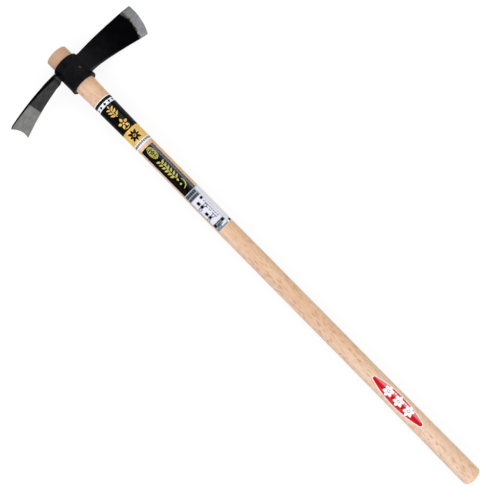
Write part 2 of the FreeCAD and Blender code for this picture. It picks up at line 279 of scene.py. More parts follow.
def make_piece(name, bm, materials, node, sharp_from=38):
    """Turns a bmesh in the tool's frame into a piece that rides on the tool.

    It stands for a CAD node, or for none if it is print on a sticker. Edges of more than sharp_from
    degrees stay sharp.
    """
    bmesh.ops.recalc_face_normals(bm, faces=bm.faces)
    for f in bm.faces:
        f.smooth = True
    for e in bm.edges:
        if len(e.link_faces) == 2:
            e.smooth = e.calc_face_angle(0.0) < radians(sharp_from)
    bmesh.ops.transform(bm, matrix=TOOL, verts=bm.verts)
    mesh = mesh_from(name, bm)
    for material in materials:
        mesh.materials.append(material)
    obj = add_object(name, mesh)
    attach(obj, "root")
    if node:
        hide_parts(node)


def add_mesh(bm, points, faces):
    verts = [bm.verts.new(p) for p in points]
    for face in faces:
        bm.faces.new([verts[i] for i in face])
    return verts


def quarter(x, radius, size, towards_end, steps=5):
    """Profile points of a rounding of that size at the rim of a turned end."""
    points = []
    for i in range(steps + 1):
        turn = radians(90 * (i if towards_end else steps - i) / steps)
        along = size * (1 - sin(turn))
        points.append((x - along if towards_end else x + along, radius - size * (1 - cos(turn))))
    return points


def turned(profile, segments, radius_at, hollow=False):
    """A closed solid turned about X from (x, radius) profile points; radius_at makes it a little uneven.

    Its ends close on the axis, or on each other if it is hollow.
    """
    bm = bmesh.new()
    points = []
    for x, radius in profile:
        for s in range(segments):
            angle = 2 * pi * s / segments
            points.append(about_x(x, radius_at(x, radius, angle), angle))
    verts = add_mesh(bm, points, grid_faces(len(profile), segments, hollow))
    if hollow:
        return bm
    for rim, x in ((verts[:segments], profile[0][0]), (verts[-segments:], profile[-1][0])):
        tip = bm.verts.new((x, 0, 0))
        for s in range(segments):
            bm.faces.new((tip, rim[s], rim[(s + 1) % segments]))
    return bm


def section_loop(flats, walls, rounds):
    """A rounded rectangle as (a, b, ca, cb): a point is at a*(half width - r) + r*ca across and
    b*(half thickness - r) + r*cb up. Point k and point -1-k mirror each other top to bottom."""
    wall = [(1, (i + 0.5) / walls, 1, 0) for i in range(walls)]
    turns = [radians(90 * i / rounds) for i in range(rounds + 1)]
    corner = [(1, 1, cos(t), sin(t)) for t in turns]
    top = [(1 - 2 * i / flats, 1, 0, 1) for i in range(1, flats)]
    right = wall + corner
    left = [(-a, b, -ca, cb) for a, b, ca, cb in reversed(right)]
    upper = right + top + left
    return upper + [(a, -b, ca, -cb) for a, b, ca, cb in reversed(upper)]


def solid(shares, loop, place):
    """A closed solid with a row of section points at each share; place(share, point) says where."""
    bm = bmesh.new()
    points = [place(share, shape) for share in shares for shape in loop]
    count = len(loop)
    faces = grid_faces(len(shares), count)
    for first in (0, (len(shares) - 1) * count):
        for k in range(count // 2 - 1):
            faces.append((first + k, first + k + 1, first + count - 2 - k, first + count - 1 - k))
    add_mesh(bm, points, faces)
    return bm


def dent(point):
    """The unevenness that forging leaves, from -1 to 1."""
    return 0.6 * ripple(point, 9 * MM) + 0.4 * ripple(point, 3.5 * MM, 1.7)


def dented(point, normal, amount):
    return point + Vector(normal) * dent(point) * amount


# ---- Shader helpers ----
class Look:
    """One procedural material, built one node per call. Values may be numbers or node outputs."""

    def __init__(self, name):
        self.material = bpy.data.materials.new(name)
        self.material.use_nodes = True
        self.tree = self.material.node_tree
        self.tree.nodes.clear()
        self.surface = self.node("ShaderNodeBsdfPrincipled")
        output = self.node("ShaderNodeOutputMaterial")
        self.tree.links.new(self.surface.outputs["BSDF"], output.inputs["Surface"])
        inverse = TOOL.inverted()
        seen = self.node("ShaderNodeTexCoord").outputs["Object"]
        moved = {"Vector": seen, "Location": inverse.translation, "Rotation": inverse.to_euler("XYZ")}
        self.place = self.fed("ShaderNodeMapping", moved)["Vector"]
        self.along, self.across, _ = self.fed("ShaderNodeSeparateXYZ", {0: self.place})

    def node(self, kind, **settings):
        made = self.tree.nodes.new(kind)
        for key, value in settings.items():
            setattr(made, key, value)
        return made

    def put(self, socket, value):
        if isinstance(value, bpy.types.NodeSocket):
            self.tree.links.new(value, socket)
        elif isinstance(value, tuple) and len(value) == 3 and socket.type == "RGBA":
            socket.default_value = (*value, 1)
        else:
            socket.default_value = value

    def fed(self, kind, values, **settings):
        """The outputs of a new node whose inputs, by name or number, get these values."""
        made = self.node(kind, **settings)
        for key, value in values.items():
            self.put(made.inputs[key], value)
        return made.outputs

    def stretched(self, scale, turn=(0, 0, 0), base=None):
        values = {"Vector": base or self.place, "Scale": scale, "Rotation": turn}
        return self.fed("ShaderNodeMapping", values)["Vector"]

    def noise(self, scale, base=None, detail=3.0, roughness=0.55):
        """Cloudy noise; three numbers as its scale stretch it along the axes."""
        vector = self.place
        if isinstance(scale, tuple):
            vector, scale = self.stretched(scale, base=base), 1.0
        values = {"Vector": vector, "Scale": scale, "Detail": detail, "Roughness": roughness}
        return self.fed("ShaderNodeTexNoise", values)["Fac"]

    def cells(self, vector):
        """Distance to the nearest of many scattered points, and a random shade for each point."""
        made = self.fed("ShaderNodeTexVoronoi", {"Vector": vector, "Scale": 1.0})
        return made["Distance"], made["Color"]

    def span(self, value, low, high, to_low=0.0, to_high=1.0):
        """The value from low to high, carried smoothly to to_low..to_high and held there."""
        values = dict(enumerate((value, low, high, to_low, to_high)))
        return self.fed("ShaderNodeMapRange", values, interpolation_type="SMOOTHSTEP")["Result"]

    def math(self, operation, a, b=0.0):
        return self.fed("ShaderNodeMath", {0: a, 1: b}, operation=operation)["Value"]

    def times(self, a, b):
        return self.math("MULTIPLY", a, b)

    def plus(self, a, b):
        return self.math("ADD", a, b)

    def minus(self, a, b):
        return self.math("SUBTRACT", a, b)

    def blend(self, share, a, b):
        return self.fed("ShaderNodeMix", {"Factor": share, 6: a, 7: b}, data_type="RGBA")[2]

    def tinted(self, colour, tone, value, low, high, most=1.0):
        """The colour, turned to the tone by up to most as the value goes from low to high."""
        return self.blend(self.span(value, low, high, 0.0, most), colour, tone)

    def far_from(self, point, base=None):
        """Distance of the shaded point, in the tool's frame, from a point."""
        values = {0: base or self.place, 1: point}
        return self.fed("ShaderNodeVectorMath", values, operation="DISTANCE")["Value"]

    def facing(self, direction):
        """Cosine of the angle between the surface's normal and a direction."""
        values = {0: self.node("ShaderNodeNewGeometry").outputs["Normal"], 1: direction}
        return self.fed("ShaderNodeVectorMath", values, operation="DOT_PRODUCT")["Value"]

    def bump(self, height, distance, strength):
        values = {"Height": height, "Distance": distance, "Strength": strength}
        self.put(self.surface.inputs["Normal"], self.fed("ShaderNodeBump", values)["Normal"])

    def set(self, **values):
        for key, value in values.items():
            self.put(self.surface.inputs[key.replace("_", " ")], value)
        return self.material


def shade(red, green, blue):
    """A colour seen as these 0-255 values, as the linear colour that shaders take."""
    def linear(c):
        c = c / 255
        return c / 12.92 if c <= 0.04045 else ((c + 0.055) / 1.055) ** 2.4

    return linear(red), linear(green), linear(blue)


# ---- Materials ----
WOOD_LIGHT = shade(231, 201, 174)
WOOD_TAN = shade(216, 179, 148)
WOOD_FLECK = shade(180, 126, 84)
WOOD_SPOT = shade(205, 146, 98)
WOOD_STREAK = shade(212, 168, 134)
WOOD_FIBRE = shade(196, 152, 118)
# Painted shade, darker and yellower, for the handle's +Y side
WOOD_SHADED_SIDE = shade(220, 178, 136)
# Painted light, paler, for the handle's -Y side
WOOD_LIT_SIDE = shade(232, 206, 188)
# Painted light, paler, towards the butt
WOOD_LIT_BUTT = shade(236, 210, 188)
# Darker towards the head: partly darker stub wood, partly painted shade beside the black head
WOOD_HEAD_GRIME_AND_SHADE = shade(180, 139, 111)
GRAIN_LEAN = radians(4.5)
KNOT_LENGTHENING = 1.9
# Small pin knots, as (x, y) on the handle's upper side
KNOTS = in_mm([(33, -13), (55.5, -6.5), (557, -11), (584, -11.3), (828, -6.4), (781, -3.3)])


def beech_side():
    """Turned beech: long tone bands, fine fibre, short dark ray flecks that run along the grain.

    It is darker at the head (partly darker stub wood, partly painted shade beside the black head), paler at
    the butt (painted light), and yellower on the +Y side than on the -Y side (painted shade on the +Y side,
    painted light on the -Y side).
    """
    look = Look("beech_long_grain")
    lean = look.stretched((1, 1, 1), (0, 0, GRAIN_LEAN))
    bands = look.noise((9, 130, 130), base=lean, detail=2.0)
    wide = look.noise((4, 40, 40), base=lean, detail=2.0)
    colour = look.blend(look.span(bands, 0.3, 0.7), WOOD_LIGHT, WOOD_TAN)
    colour = look.tinted(colour, WOOD_STREAK, wide, 0.35, 0.7, 0.45)
    # Painted shade on the +Y side, darker and yellower
    colour = look.tinted(colour, WOOD_SHADED_SIDE, look.across, -2 * MM, 13 * MM, 0.6)
    # Painted light on the -Y side, paler
    colour = look.tinted(colour, WOOD_LIT_SIDE, look.across, -3 * MM, -13 * MM, 0.45)
    # Painted light towards the butt
    colour = look.tinted(colour, WOOD_LIT_BUTT, look.along, 420 * MM, 800 * MM, 0.4)
    # Darker towards the head: partly darker stub wood, partly painted shade beside the black head
    colour = look.tinted(colour, WOOD_HEAD_GRIME_AND_SHADE, look.along, 42 * MM, -10 * MM, 0.7)
    fibre = look.noise((70, 2400, 2400), base=lean, detail=2.0, roughness=0.6)
    colour = look.tinted(colour, WOOD_FIBRE, fibre, 0.35, 0.7, 0.24)
    gap, pick = look.cells(look.stretched((80, 700, 700), base=lean))
    flecks = look.times(look.span(gap, 0.44, 0.3), look.span(pick, 0.36, 0.46))
    where = look.noise((16, 70, 70), detail=1.0)
    crowd = look.times(flecks, look.span(where, 0.34, 0.54, 0.3, 0.82))
    crowd = look.times(crowd, look.span(look.along, 20 * MM, 100 * MM, 0.35, 1.0))
    colour = look.blend(crowd, colour, WOOD_FLECK)
    rays = look.noise((130, 1150, 1150), base=lean, detail=0.0)
    colour = look.tinted(colour, WOOD_FLECK, rays, 0.63, 0.74, 0.4)
    flat = look.stretched((1, KNOT_LENGTHENING, 0))
    ragged = look.times(look.minus(fibre, 0.5), 2.2 * MM)
    for x, y in KNOTS:
        gap = look.plus(look.far_from((x, y * KNOT_LENGTHENING, 0), flat), ragged)
        colour = look.blend(look.span(gap, 1.2 * MM, 3 * MM, 0.95, 0.0), colour, WOOD_SPOT)
    look.bump(look.plus(fibre, look.times(crowd, -0.8)), 0.06 * MM, 0.5)
    rough = look.span(fibre, 0.3, 0.7, 0.5, 0.62)
    look.set(Base_Color=colour, Roughness=rough, Specular_IOR_Level=0.32)
    return look.set(Sheen_Weight=0.16, Sheen_Roughness=0.4)


END_LIGHT, END_DARK = shade(214, 176, 142), shade(184, 138, 102)
END_PORE = shade(140, 98, 68)
END_GRIME = shade(150, 112, 84)
PITH = (0, 34 * MM, -27 * MM)
RING_WIDTH = 2.3 * MM


def beech_end():
    """End grain: growth rings about a pith outside the handle, dotted with pores and a little grimy."""
    look = Look("beech_end_grain")
    pith = look.far_from(PITH, look.stretched((0, 1, 1)))
    wander = look.noise((0, 160, 160), detail=2.0)
    pith = look.plus(pith, look.times(wander, 1.6 * MM))
    grown = look.math("FRACT", look.times(pith, 1 / RING_WIDTH))
    colour = look.blend(look.span(grown, 0.55, 1.0), END_LIGHT, END_DARK)
    pores = look.noise(3400, detail=0.0)
    colour = look.tinted(colour, END_PORE, pores, 0.62, 0.72, 0.6)
    grime = look.noise(120)
    colour = look.tinted(colour, END_GRIME, grime, 0.5, 0.75, 0.35)
    look.bump(pores, 0.08 * MM, 0.6)
    rough = look.span(grime, 0.3, 0.7, 0.62, 0.8)
    return look.set(Base_Color=colour, Roughness=rough, Specular_IOR_Level=0.2)


ENAMEL_DARK, ENAMEL_LIGHT = shade(3, 3, 4), shade(13, 14, 18)
ENAMEL_SPECK = shade(30, 30, 34)
ENAMEL_BY_BIT = shade(1, 1, 3)
WORN_EDGE = shade(80, 79, 78)
SCORCH = shade(66, 61, 51)
# Colour of the painted highlights on the adze's root fillet
ROOT_HIGHLIGHT = shade(84, 84, 82)
# The adze's broad faces: black enamel lifted to grey as a painted reflection, tinted cool and warm at
# random
ADZE_SHEEN_COOL, ADZE_SHEEN_WARM = shade(9, 12, 13), shade(16, 14, 10)
ADZE_SHEEN_LIGHT = shade(24, 25, 24)
# Painted shade: the narrow sides, darker than the broad faces
ADZE_SIDE_SHADE_DARK = shade(1, 1, 2)
# Painted shade: the root beside the collar; its light tone also serves the narrow sides
ADZE_ROOT_SHADE_DARK, ADZE_SHADE_LIGHT = shade(2, 2, 3), shade(6, 6, 7)
# Ground steel: the dark and the light of its grinding lines, and its smoky patches
AXE_GROUND = shade(106, 107, 109), shade(122, 122, 125), shade(95, 95, 94)
# The adze's ground steel: the axe's steel painted darker as shade, and warmer
ADZE_GROUND_SHADED = shade(100, 101, 99), shade(120, 120, 118), shade(92, 91, 87)
# Painted highlights on the adze's root fillet beside the collar, as (x, y)
ADZE_ROOT_HIGHLIGHTS = in_mm([(-15.6, -22), (-10.6, -23.6)])


def enamel_tones(look, dark, light):
    """Baked black over forge scale, blacker towards the axe's bit. Returns the colour, the roughness and
    the height of its fine orange peel."""
    cloud = look.noise(95, detail=4.0)
    speck = look.noise(620, detail=2.0)
    colour = look.blend(look.span(cloud, 0.38, 0.7), dark, light)
    colour = look.tinted(colour, ENAMEL_SPECK, speck, 0.58, 0.76, 0.6)
    edge = look.node("ShaderNodeNewGeometry").outputs["Pointiness"]
    worn = look.times(look.span(edge, 0.53, 0.60), look.span(speck, 0.4, 0.6, 0.1, 0.6))
    colour = look.blend(worn, colour, WORN_EDGE)
    colour = look.tinted(colour, ENAMEL_BY_BIT, look.across, 20 * MM, 100 * MM, 0.85)
    height = look.plus(cloud, look.times(speck, 0.4))
    return colour, look.span(cloud, 0.3, 0.75, 0.46, 0.66), height


def black_enamel(name):
    look = Look(name)
    colour, rough, height = enamel_tones(look, ENAMEL_DARK, ENAMEL_LIGHT)
    look.bump(height, 0.25 * MM, 0.5)
    return look.set(Base_Color=colour, Roughness=rough, Specular_IOR_Level=0.08)


def part_ground(look, enamel, gloss, steel_tones, along, bare, smear):
    """Enamel and, where bare is 1, ground steel with grinding lines; smear marks scorched steel."""
    colour, rough, height = enamel
    lines = look.noise(along, roughness=0.65)
    smoke = look.noise(70)
    dark, light, smoky = steel_tones
    steel = look.blend(look.span(lines, 0.3, 0.72), dark, light)
    steel = look.tinted(steel, smoky, smoke, 0.5, 0.8, 0.35)
    steel = look.blend(smear, steel, SCORCH)
    colour = look.blend(bare, colour, steel)
    ground = look.times(lines, 0.12)
    look.bump(look.plus(height, look.times(ground, bare)), 0.2 * MM, 0.4)
    clean = look.times(bare, look.minus(0.75, look.times(smear, 0.5)))
    sheen = look.plus(gloss, look.times(bare, 0.2))
    rough = look.minus(rough, look.times(bare, 0.12))
    return look.set(Base_Color=colour, Roughness=rough, Metallic=clean, Specular_IOR_Level=sheen)


def axe_steel(name):
    """Ground bevels with a torn border to the enamel, further back and more scorched at the upper end."""
    look = Look(name)
    radius = look.far_from((AXE_ARC_X, AXE_ARC_Y, 0), look.stretched((1, 1, 0)))
    upper = look.span(look.along, 4 * MM, -17 * MM)
    torn = look.noise(210, detail=6.0, roughness=0.68)
    torn = look.times(look.minus(torn, 0.5), 15 * MM)
    past = look.minus(radius, AXE_EDGE_RADIUS - AXE_BEVEL_WIDTH - 0.2 * MM)
    past = look.plus(look.plus(past, torn), look.times(upper, 5.2 * MM))
    bare = look.span(past, -0.7 * MM, 0.7 * MM)
    fringe = look.plus(1.8 * MM, look.times(upper, 6.5 * MM))
    smear = look.span(look.math("DIVIDE", past, fringe), 0.4, 1.1, 0.9, 0.0)
    top_line = look.plus(-24.7 * MM, look.times(look.across, 0.065))
    from_top = look.minus(look.along, top_line)
    rim = look.span(from_top, 0.8 * MM, 3 * MM, 0.9, 0.0)
    rim = look.times(rim, look.span(radius, 88 * MM, 79 * MM))
    enamel = enamel_tones(look, ENAMEL_DARK, ENAMEL_LIGHT)
    gloss = look.span(look.across, 15 * MM, 85 * MM, 0.085, 0.02)
    scorched = look.math("MAXIMUM", smear, rim)
    return part_ground(look, enamel, gloss, AXE_GROUND, (300, 60, 300), bare, scorched)


def adze_steel(name):
    """The bit is ground on both faces. The narrow sides and the root stay black, painted darker still as
    shade; the broad faces' black is painted grey as a reflection, and the root carries painted highlights
    beside the collar.
    """
    look = Look(name)
    torn = look.noise(160)
    torn = look.times(look.minus(torn, 0.5), 1.6 * MM)
    past = look.minus(ADZE_BIT_Y + 0.5 * MM, look.across)
    bare = look.span(look.plus(past, torn), -0.6 * MM, 0.6 * MM)
    side = look.span(look.math("ABSOLUTE", look.facing(TOOL_Z)), 0.5, 0.75)
    bare = look.times(bare, look.minus(1.0, side))
    patch = look.noise(60, detail=2.0)
    # Painted reflection: the broad faces' enamel tones are lifted to grey, tinted cool and warm at random
    tint_and_painted_light = look.blend(look.span(patch, 0.42, 0.6), ADZE_SHEEN_COOL, ADZE_SHEEN_WARM)
    # Painted shade on the narrow sides, picked by which way the surface faces
    tint_and_painted_light = look.blend(side, tint_and_painted_light, ADZE_SIDE_SHADE_DARK)
    pale = look.blend(side, ADZE_SHEEN_LIGHT, ADZE_SHADE_LIGHT)
    # Painted shade on the root beside the collar, where the collar and handle shade it
    root = look.span(look.across, -34 * MM, -24 * MM)
    root_shade_share = look.times(root, 0.8)
    tint_and_painted_light = look.blend(root_shade_share, tint_and_painted_light, ADZE_ROOT_SHADE_DARK)
    pale = look.blend(root_shade_share, pale, ADZE_SHADE_LIGHT)
    gloss = look.times(look.span(side, 0.0, 1.0, 0.1, 0.02), look.span(root, 0.0, 1.0, 1.0, 0.2))
    worn = look.span(patch, 0.58, 0.75, 0.0, 0.3)
    colour, rough, height = enamel_tones(look, tint_and_painted_light, pale)
    flat = look.stretched((1, 1, 0))
    # Painted highlights on the root fillet beside the collar
    for x, y in ADZE_ROOT_HIGHLIGHTS:
        highlight = look.span(look.far_from((x, y, 0), flat), 0.8 * MM, 2.4 * MM, 0.55, 0.0)
        colour = look.blend(highlight, colour, ROOT_HIGHLIGHT)
    return part_ground(look, (colour, rough, height), gloss, ADZE_GROUND_SHADED, (500, 90, 500), bare, worn)


NAIL_LIGHT, NAIL_DARK = shade(56, 56, 58), shade(26, 26, 29)


def nail_steel():
    look = Look("nail_steel")
    marks = look.noise(1500)
    colour = look.blend(look.span(marks, 0.35, 0.7), NAIL_LIGHT, NAIL_DARK)
    look.bump(marks, 0.08 * MM, 0.6)
    return look.set(Base_Color=colour, Roughness=look.span(marks, 0.3, 0.7, 0.4, 0.6), Metallic=0.5)


def printed_film(name, colour, drift=0.06, coat=0.08, gloss=0.1, fresh_coat=None):
    """Gloss film or ink: a slightly uneven colour under a clear coat with faint handling marks.

    With fresh_coat given, the coat's weight is coat on the handle's -Y side, where it is rubbed thin, and
    fresh_coat on the +Y side.
    """
    look = Look(name)
    uneven = look.noise(160)
    fine = look.noise(2600, detail=1.0)
    plain = shade(*colour)
    darker = tuple(c * (1 - 2.2 * drift) for c in plain)
    tone = look.blend(look.span(uneven, 0.3, 0.7), plain, darker)
    tone = look.tinted(tone, darker, fine, 0.55, 0.75, 0.1)
    look.bump(uneven, 0.05 * MM, 0.3)
    rough = look.span(uneven, 0.3, 0.7, 0.26, 0.36)
    look.set(Base_Color=tone, Roughness=rough, Specular_IOR_Level=gloss)
    if fresh_coat is None:
        return look.set(Coat_Weight=coat, Coat_Roughness=0.12)
    rubbed = look.span(look.across, -1 * MM, 2 * MM, coat, fresh_coat)
    return look.set(Coat_Weight=rubbed, Coat_Roughness=0.08, Coat_IOR=1.7)


WHITE_FILM = printed_film("white_film", (238, 238, 242), 0.02)
NAVY_INK = printed_film("navy_ink", (20, 23, 34), coat=0.02, gloss=0.04)
BLACK_INK = printed_film("black_ink", (3, 3, 4), coat=0.01, gloss=0.03, fresh_coat=0.1)
GOLD_INK = printed_film("gold_ink", (233, 191, 104), 0.09)
OLIVE_INK = printed_film("olive_gold_ink", (196, 184, 98), 0.09)
SILVER_INK = printed_film("silver_ink", (165, 173, 183), 0.07)
STEEL_BLUE_INK = printed_film("steel_blue_ink", (104, 122, 140), 0.07)
PALE_FILM = printed_film("pale_film", (222, 223, 226), 0.03)
SLATE_INK = printed_film("slate_ink", (38, 49, 62), 0.07)
PANEL_INK = printed_film("panel_ink", (221, 222, 235), 0.02)
RED_INK = printed_film("red_ink", (201, 5, 20), 0.05, coat=0.1, fresh_coat=1.0)
WHITE_INK = printed_film("white_ink", (246, 246, 248), 0.02)


# ---- Handle ----
HANDLE_ROWS, HANDLE_SEGMENTS, END_RINGS = 330, 96, 8


def handle_piece():
    rings = [i / END_RINGS for i in range(1, END_RINGS)]
    top_rings = [(HANDLE_TOP, (STUB_RADIUS - TOP_ROUNDING) * share) for share in rings]
    butt_rings = [(HANDLE_BUTT, (BUTT_RADIUS - BUTT_ROUNDING) * share) for share in reversed(rings)]
    start, stop = HANDLE_TOP + TOP_ROUNDING, HANDLE_BUTT - BUTT_ROUNDING
    inner = [mix(start, stop, i / HANDLE_ROWS) for i in range(1, HANDLE_ROWS)]
    profile = top_rings + quarter(HANDLE_TOP, STUB_RADIUS, TOP_ROUNDING, False)
    profile += [(x, handle_radius(x)) for x in inner]
    profile += quarter(HANDLE_BUTT, BUTT_RADIUS, BUTT_ROUNDING, True)
    profile += butt_rings

    def radius_at(x, radius, angle):
        if EYE_TOP + MM < x < EYE_BOTTOM - MM:
            return radius - EYE_GAP
        if start < x < stop:
            return wood_surface(x, angle)
        return radius

    bm = turned(profile, HANDLE_SEGMENTS, radius_at)
    for f in bm.faces:
        if max(abs(v.co.x - HANDLE_TOP) for v in f.verts) < 0.4 * TOP_ROUNDING:
            f.material_index = 1
        if max(abs(v.co.x - HANDLE_BUTT) for v in f.verts) < 0.25 * BUTT_ROUNDING:
            f.material_index = 1
    make_piece("handle_turned", bm, [beech_side(), beech_end()], "handle")


# ---- Head ----
def collar_piece():
    """The forged ring round the handle, with a rounded lip at its lower end."""
    lip_start = EYE_BOTTOM - COLLAR_LIP_HEIGHT
    outside = quarter(EYE_TOP, COLLAR_RADIUS, COLLAR_ROUNDING, False)
    for i in range(1, 15):
        outside.append((mix(EYE_TOP + COLLAR_ROUNDING, lip_start, i / 14), COLLAR_RADIUS))
    lip_stop = EYE_BOTTOM - COLLAR_ROUNDING
    swell = smooth_through([(lip_start, COLLAR_RADIUS), (lip_stop, COLLAR_LIP_RADIUS)])
    for i in range(1, 5):
        x = mix(lip_start, lip_stop, i / 5)
        outside.append((x, swell(x)))
    outside += quarter(EYE_BOTTOM, COLLAR_LIP_RADIUS, COLLAR_ROUNDING, True)
    inside = []
    for i in range(13):
        x = mix(EYE_BOTTOM, EYE_TOP, i / 12)
        inside.append((x, handle_radius(x) + (EYE_MOUTH_FLARE if i in (0, 12) else 0.0)))

    def radius_at(x, radius, angle):
        if radius <= COLLAR_RADIUS - COLLAR_ROUNDING:
            return radius
        return radius + FORGING_DENTS * dent(about_x(x, radius, angle))

    bm = turned(outside + inside, COLLAR_SEGMENTS, radius_at, hollow=True)
    make_piece("collar_forged", bm, [black_enamel("collar_enamel")], "eye_collar")


def axe_arc(radius):
    return lambda x, up: AXE_ARC_Y + sqrt(radius**2 - (x - AXE_ARC_X) ** 2)


def axe_edge(x, up):
    """The cutting edge: an arc whose two corners are rounded off."""
    y = axe_arc(AXE_EDGE_RADIUS)(x, up)
    for size, gap in ((AXE_UPPER_CORNER, x - AXE_TOP(y)), (AXE_LOWER_CORNER, AXE_BOTTOM(y) - x)):
        y -= fillet(gap, size)
    return y


def root_of(offset_from_middle):
    """How far from the handle's axis a blade starts, just under the collar's surface."""
    return sqrt(max((COLLAR_RADIUS - ROOT_DEPTH) ** 2 - offset_from_middle**2, 0.0))


SETTLING_TURNS = 9


def axe_half_thickness(x, y):
    swell = AXE_CHEEK(y)
    if y < COLLAR_RADIUS:
        collar = sqrt(COLLAR_RADIUS**2 - y * y)
        sunk = clamp((collar - swell) / AXE_WELD_SOFTNESS)
        swell = soft_max(swell, collar, AXE_WELD_SOFTNESS) - 0.4 * MM * sunk * sunk
    slope = (AXE_BODY_THICKNESS - AXE_EDGE_THICKNESS) / 2 / AXE_BEVEL_WIDTH
    to_edge = AXE_EDGE_RADIUS - hypot(x - AXE_ARC_X, y - AXE_ARC_Y)
    return min(swell, AXE_EDGE_THICKNESS / 2 + slope * max(to_edge, 0.0))


def axe_point(share, shape, start, end, dents):
    """Where a section point lies, that share of the way from the start to the end of the blade.

    Its width, thickness and place along the blade depend on each other, so they are found in turns.
    """
    a, b, ca, cb = shape
    x, y, up = 0.0, 60 * MM, 0.0
    for _ in range(SETTLING_TURNS):
        half_width = (AXE_BOTTOM(y) - AXE_TOP(y)) / 2
        half = axe_half_thickness(x, y)
        near_root = clamp((45 * MM - y) / (25 * MM))
        corner = min(mix(AXE_SIDE_ROUNDING, AXE_ROOT_ROUNDING, near_root), 0.8 * half)
        up = b * (half - corner) + corner * cb
        across = a * (half_width - corner) + corner * ca
        x = (AXE_BOTTOM(y) + AXE_TOP(y)) / 2 + across
        y = mix(start(x, up), end(x, up), share)
    out = fillet(hypot(y, up) - COLLAR_RADIUS, AXE_ROOT_FILLET)
    point = Vector((x + ca * out, y, up))
    to_bevel = AXE_EDGE_RADIUS - AXE_BEVEL_WIDTH - hypot(x - AXE_ARC_X, y - AXE_ARC_Y)
    fade = clamp(to_bevel / (6 * MM)) if y > AXE_ARC_Y else 1.0
    return dented(point, (ca, 0, cb), dents * fade)


def crowded(rows, power):
    """Shares from 0 to 1, evenly spread at power 1 and closer together near 0 above it."""
    return [(i / rows) ** power for i in range(rows + 1)]


def axe_pieces():
    bevel_back = axe_arc(AXE_EDGE_RADIUS - AXE_BEVEL_WIDTH)
    loop = section_loop(26, 4, 5)

    def root(x, up):
        return root_of(up)

    body = solid(crowded(64, 1.6), loop, lambda t, s: axe_point(t, s, root, bevel_back, FORGING_DENTS))
    make_piece("axe_blade_forged", body, [axe_steel("axe_body_steel")], "axe_blade")
    bit = solid(crowded(14, 1), loop, lambda t, s: axe_point(t, s, bevel_back, axe_edge, 0.0))
    make_piece("axe_bit_ground", bit, [axe_steel("axe_bit_steel")], "axe_bit")


def adze_edge_y(across):
    """The crescent edge, hollow in the middle."""
    slope = (ADZE_UNDERSIDE(ADZE_EDGE_Y - MM) - ADZE_UNDERSIDE(ADZE_EDGE_Y)) / MM
    outward = 1 / hypot(1, slope)
    further = ADZE_HOLLOW_RADIUS - sqrt(ADZE_HOLLOW_RADIUS**2 - across**2)
    return ADZE_EDGE_Y - outward * further


def adze_point(share, shape, start, end, dents):
    """As axe_point, for the bowed blade square to it."""
    a, b, ca, cb = shape
    y, across, up, middle = -60 * MM, 0.0, 0.0, 0.0
    for _ in range(SETTLING_TURNS):
        under = ADZE_UNDERSIDE(y)
        to_edge = max(y - adze_edge_y(across), 0.0)
        thickness = min(under - ADZE_TOPSIDE(y), ADZE_EDGE_THICKNESS + to_edge / ADZE_BEVEL_RUN_PER_RISE)
        half = thickness / 2
        middle = under - half
        near_root = clamp((y + 45 * MM) / (22 * MM))
        corner = min(mix(ADZE_SIDE_ROUNDING, ADZE_ROOT_ROUNDING, near_root), 0.8 * half)
        up = b * (half - corner) + corner * cb
        across = a * (ADZE_SIDE(-y) - corner) + corner * ca
        y = mix(start(across), end(across), share)
    gap = hypot(y, across) - COLLAR_RADIUS
    out = fillet(gap, ADZE_UNDER_FILLET if cb > 0 else ADZE_TOP_FILLET)
    point = Vector((middle + up + cb * out, y, across))
    fade = clamp((y - ADZE_BIT_Y) / (8 * MM))
    return dented(point, (cb, 0, ca), dents * fade)


def adze_pieces():
    loop = section_loop(34, 3, 4)

    def root(across):
        return -root_of(across)

    def bit_line(across):
        return ADZE_BIT_Y

    body = solid(crowded(52, 1.5), loop, lambda t, s: adze_point(t, s, root, bit_line, FORGING_DENTS))
    make_piece("adze_blade_forged", body, [adze_steel("adze_body_steel")], "adze_blade")
    shares = [1 - share for share in reversed(crowded(30, 1.3))]
    bit = solid(shares, loop, lambda t, s: adze_point(t, s, bit_line, adze_edge_y, 0.0))
    make_piece("adze_bit_ground", bit, [adze_steel("adze_bit_steel")], "adze_bit")


def nail_piece():
    """The nail's domed head, a little battered, over its shank in the collar and the wood."""
    crown = COLLAR_RADIUS + NAIL_HEAD_PROUD
    tip = COLLAR_RADIUS - NAIL_REACH
    profile = [(tip, NAIL_TIP_RADIUS), (tip + NAIL_TIP_LENGTH, NAIL_SHANK_RADIUS)]
    profile += [(COLLAR_RADIUS - 2 * NAIL_HEAD_DEPTH, NAIL_SHANK_RADIUS)]
    profile += [(COLLAR_RADIUS - NAIL_HEAD_DEPTH, NAIL_HEAD_RADIUS)]
    for i in range(9):
        turn = radians(10 * i)
        profile.append((mix(COLLAR_RADIUS, crown, sin(turn)), NAIL_HEAD_RADIUS * cos(turn)))

    def radius_at(x, radius, angle):
        return radius * (1 + 0.04 * ripple(about_x(x * 3, 2 * MM, angle), 1.6 * MM))

    bm = turned(profile, 40, radius_at)
    turn = Vector((1, 0, 0)).rotation_difference(about_x(0, 1, NAIL_ANGLE)).to_matrix().to_4x4()
    bmesh.ops.transform(bm, matrix=Matrix.Translation((NAIL_X, 0, 0)) @ turn, verts=bm.verts)
    make_piece("nail_head", bm, [nail_steel()], "retaining_nail", 50)


# ---- Flat shapes for the prints: outlines in millimetres, x along the handle, s round it ----
def bar(x0, x1, s0, s1):
    return [[(x0, s0), (x1, s0), (x1, s1), (x0, s1)]]


def hollow_square(x, s, half, width):
    rim = width / 2
    sides = []
    for e in (half, -half):
        sides += bar(x - half, x + half, s + e - rim, s + e + rim)
    for e in (half, -half):
        sides += bar(x + e - rim, x + e + rim, s - half, s + half)
    return sides


